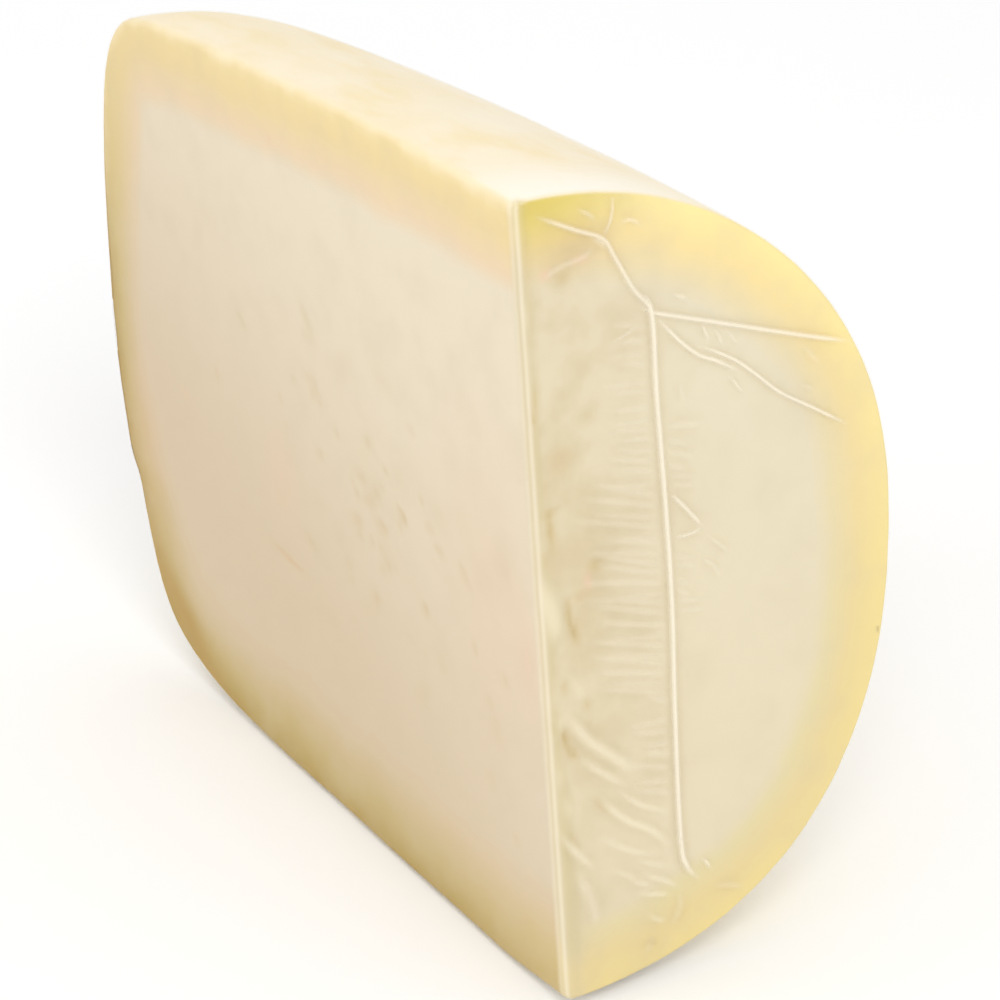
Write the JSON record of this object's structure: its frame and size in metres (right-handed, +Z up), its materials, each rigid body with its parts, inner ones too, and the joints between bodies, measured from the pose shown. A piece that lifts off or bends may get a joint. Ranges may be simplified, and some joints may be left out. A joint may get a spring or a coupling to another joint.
{
  "type": "piece of provolone piccante in film",
  "caption": "Hard cheese cut as half of a barrel, with a long flat cut face, a D-shaped cut face, a rounded rind and a skin-tight clear film.",
  "frame": {"origin": "on the floor, at the middle of the piece's box", "axes": "+Z up, +X from the rounded far end towards the D-shaped cut face, +Y from the long cut face into the rind"},
  "size_m": [0.2424, 0.1054, 0.2227],
  "materials": {
    "cheese": "smooth pale cheese with a golden rind",
    "film": "glossy clear film with fine creases"
  },
  "bodies": {
    "root": {"wrapped_cheese": "cheese"}
  },
  "joints": []
}
